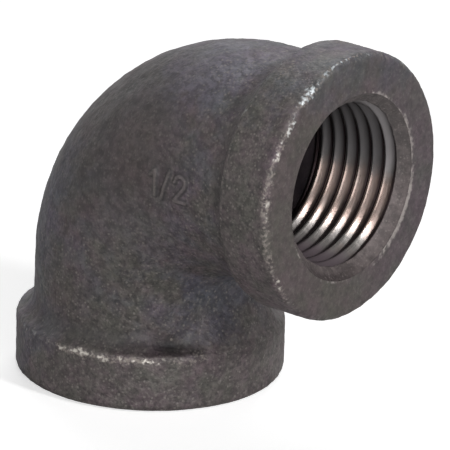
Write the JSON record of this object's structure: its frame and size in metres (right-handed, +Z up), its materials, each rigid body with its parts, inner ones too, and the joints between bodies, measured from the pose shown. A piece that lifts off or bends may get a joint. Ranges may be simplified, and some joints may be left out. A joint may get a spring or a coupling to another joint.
{
  "type": "pipe elbow",
  "caption": "Short-radius 90 degree elbow with internal pipe thread in both banded mouths, cast in black malleable iron.",
  "frame": {"origin": "centre of the bottom port's face", "axes": "+Z up the bottom port's axis, into the elbow; +X along the side port's axis, out of its mouth"},
  "size_m": [0.0438, 0.0308, 0.0438],
  "materials": {
    "black_iron_as_cast": "as-cast skin with a dark baked-on oil film, worn pale on the band edges",
    "iron_freshly_tapped": "bright cut metal"
  },
  "bodies": {
    "root": {"elbow_casting": "black_iron_as_cast", "bottom_port_thread": "iron_freshly_tapped", "side_port_thread": "iron_freshly_tapped"}
  },
  "joints": []
}
